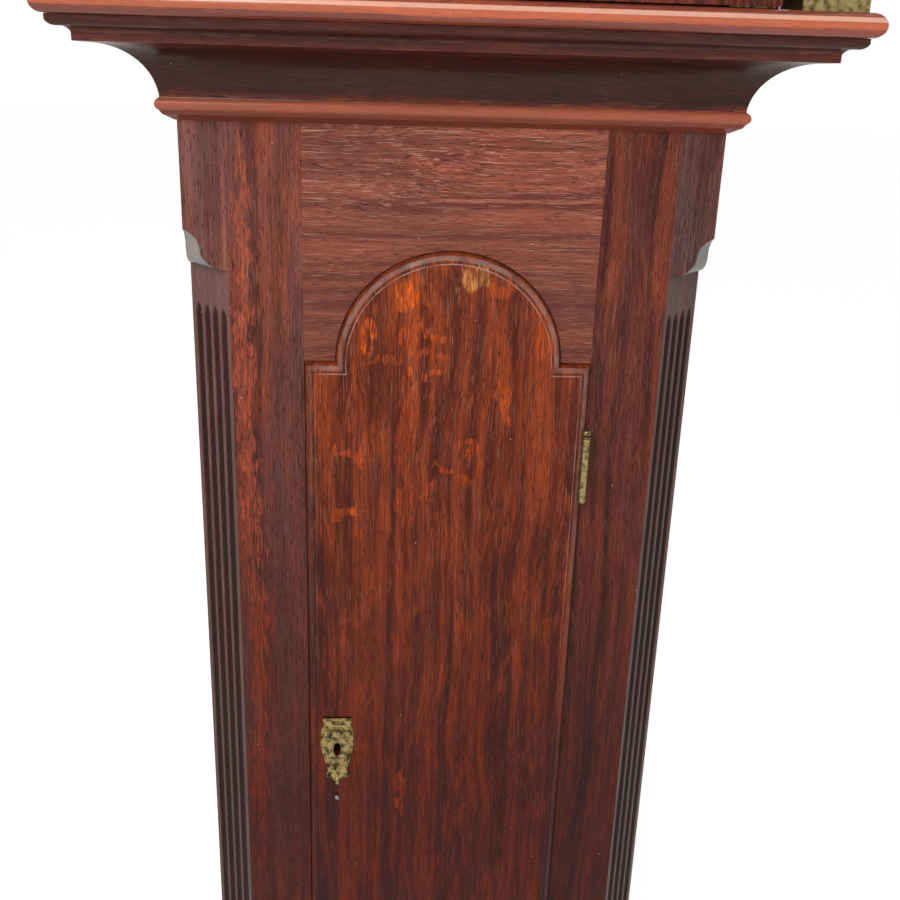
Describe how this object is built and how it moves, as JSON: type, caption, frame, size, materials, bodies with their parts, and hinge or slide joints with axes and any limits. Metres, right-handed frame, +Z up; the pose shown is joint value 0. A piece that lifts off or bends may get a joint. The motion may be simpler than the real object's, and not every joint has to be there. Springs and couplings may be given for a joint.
{
  "type": "longcase clock",
  "caption": "Oak longcase clock with an arched trunk door, fluted canted corners, square brass dial, pendulum and two weights.",
  "frame": {"origin": "on the floor, at the middle of the whole clock's plan", "axes": "+Z up the clock's height; -Y is the front with the dial and the trunk door; +X to the right when facing it"},
  "size_m": [0.514, 0.26, 2.0112],
  "materials": {
    "carcass_oak": "stained oak, old glossy varnish",
    "frame_oak": "stained oak, old glossy varnish",
    "door_oak": "quarter-sawn stained oak, old glossy varnish",
    "moulding_oak": "stained oak, glossy varnish worn on the edges",
    "plain_oak": "unfinished oak",
    "case_brass": "aged, satin",
    "clock_glass": "clear",
    "movement_brass": "satin",
    "dial_brass": "matted and lacquered",
    "silvered_brass": "silvered, brushed",
    "blued_steel": "blued",
    "forged_steel": "filed",
    "bell_metal": "turned",
    "weight_iron": "cast, blackened",
    "bob_brass": "polished",
    "gut": "twisted gut"
  },
  "bodies": {
    "case": {"backboard": "carcass_oak", "trunk_sides": "carcass_oak", "corner_post_left": "frame_oak", "corner_post_right": "frame_oak", "trunk_stile_left": "frame_oak", "trunk_stile_right": "frame_oak", "trunk_top_rail": "frame_oak", "trunk_bottom_rail": "frame_oak", "throat_moulding": "moulding_oak", "waist_moulding": "moulding_oak", "plinth_front": "carcass_oak", "plinth_sides": "carcass_oak", "bottom_board": "plain_oak", "plinth_skirting": "moulding_oak", "hinge_case_leaves": "case_brass", "hinge_pins": "case_brass", "seatboard": "plain_oak", "front_plate": "movement_brass", "back_plate": "movement_brass", "plate_pillars": "movement_brass", "back_cock": "movement_brass", "dial_plate": "dial_brass", "chapter_ring": "silvered_brass", "bell": "bell_metal", "going_line": "gut", "strike_line": "gut"},
    "trunk_door": {"trunk_door": "door_oak", "hinge_door_leaves": "case_brass", "escutcheon": "case_brass", "door_lock": "forged_steel"},
    "lock_bolt": {"lock_bolt": "forged_steel"},
    "hood": {"hood_base_moulding": "moulding_oak", "hood_sides": "carcass_oak", "hood_dial_mask": "frame_oak", "hood_pillars": "frame_oak", "pillar_brasses": "case_brass", "hood_soffit": "carcass_oak", "hood_frieze": "carcass_oak", "hood_top_board": "carcass_oak", "hood_cornice": "moulding_oak"},
    "hood_door": {"hood_door_frame": "frame_oak", "hood_door_glass": "clock_glass", "hood_door_pivots": "case_brass"},
    "centre_train": {"centre_wheel": "movement_brass", "minute_hand": "blued_steel"},
    "hour_train": {"hour_wheel": "movement_brass", "hour_hand": "blued_steel"},
    "minute_wheel": {"minute_wheel": "movement_brass"},
    "third_wheel": {"third_wheel": "movement_brass"},
    "escape_train": {"escape_wheel": "movement_brass", "seconds_hand": "blued_steel"},
    "going_barrel": {"going_barrel": "movement_brass"},
    "strike_barrel": {"strike_barrel": "movement_brass"},
    "pin_wheel": {"pin_wheel": "movement_brass"},
    "hammer": {"hammer": "forged_steel"},
    "anchor": {"anchor": "forged_steel"},
    "pendulum": {"pendulum_rod": "forged_steel", "pendulum_bob": "bob_brass"},
    "going_weight": {"going_weight": "weight_iron"},
    "strike_weight": {"strike_weight": "weight_iron"}
  },
  "joints": [
    {"name": "trunk_door_hinge", "type": "hinge", "parent": "case", "child": "trunk_door", "pos_m": [0.0979, -0.056, 0.95], "axis": [0, 0, 1], "range_deg": [0, 110]},
    {"name": "lock_bolt_slide", "type": "slide", "parent": "trunk_door", "child": "lock_bolt", "axis": [-1, 0, 0], "range_m": [0, 0.008]},
    {"name": "hood_slide", "type": "slide", "parent": "case", "child": "hood", "axis": [0, -1, 0], "range_m": [0, 0.3]},
    {"name": "hood_door_hinge", "type": "hinge", "parent": "hood", "child": "hood_door", "pos_m": [0.18, -0.083, 1.692], "axis": [0, 0, 1], "range_deg": [0, 90]},
    {"name": "minute_hand_turn", "type": "hinge", "parent": "case", "child": "centre_train", "pos_m": [0, 0.006, 1.692], "axis": [0, 1, 0], "continuous": true},
    {"name": "hour_hand_turn", "type": "hinge", "parent": "case", "child": "hour_train", "pos_m": [0, 0.006, 1.692], "axis": [0, 1, 0], "continuous": true},
    {"name": "minute_wheel_turn", "type": "hinge", "parent": "case", "child": "minute_wheel", "pos_m": [0, 0.006, 1.6626], "axis": [0, 1, 0], "continuous": true},
    {"name": "third_wheel_turn", "type": "hinge", "parent": "case", "child": "third_wheel", "pos_m": [0.01099, 0.006, 1.71688], "axis": [0, 1, 0], "continuous": true},
    {"name": "seconds_hand_turn", "type": "hinge", "parent": "case", "child": "escape_train", "pos_m": [0, 0.006, 1.736], "axis": [0, 1, 0], "continuous": true},
    {"name": "going_barrel_turn", "type": "hinge", "parent": "case", "child": "going_barrel", "pos_m": [0.0425, 0.006, 1.67986], "axis": [0, 1, 0], "continuous": true},
    {"name": "strike_barrel_turn", "type": "hinge", "parent": "case", "child": "strike_barrel", "pos_m": [-0.0425, 0.006, 1.67986], "axis": [0, 1, 0], "continuous": true},
    {"name": "pin_wheel_turn", "type": "hinge", "parent": "case", "child": "pin_wheel", "pos_m": [-0.04, 0.006, 1.71888], "axis": [0, 1, 0], "continuous": true},
    {"name": "hammer_lift", "type": "hinge", "parent": "case", "child": "hammer", "pos_m": [-0.05, 0.006, 1.766], "axis": [0, -1, 0], "range_deg": [0, 10], "stiffness_Nm_per_rad": 0.2, "springref_deg": -8.59},
    {"name": "pendulum_swing", "type": "hinge", "parent": "case", "child": "pendulum", "pos_m": [0, 0.056, 1.76], "axis": [0, 1, 0], "range_deg": [-2.5, 2.5]},
    {"name": "anchor_rock", "type": "hinge", "parent": "case", "child": "anchor", "pos_m": [0, 0.006, 1.76], "axis": [0, 1, 0], "range_deg": [-2.5, 2.5]},
    {"name": "going_weight_rise", "type": "slide", "parent": "case", "child": "going_weight", "axis": [0, 0, 1], "range_m": [0, 1.14], "deforming": ["going_line"]},
    {"name": "strike_weight_rise", "type": "slide", "parent": "case", "child": "strike_weight", "axis": [0, 0, 1], "range_m": [0, 1.14], "deforming": ["strike_line"]}
  ],
  "couplings": [
    {"joint": "hour_hand_turn", "follows": "minute_hand_turn", "ratio": 0.083333},
    {"joint": "minute_wheel_turn", "follows": "minute_hand_turn", "ratio": -1},
    {"joint": "third_wheel_turn", "follows": "minute_hand_turn", "ratio": -7.5},
    {"joint": "seconds_hand_turn", "follows": "minute_hand_turn", "ratio": 60},
    {"joint": "going_barrel_turn", "follows": "minute_hand_turn", "ratio": -0.083333},
    {"joint": "pin_wheel_turn", "follows": "strike_barrel_turn", "ratio": -10.5},
    {"joint": "anchor_rock", "follows": "pendulum_swing", "ratio": 1}
  ]
}
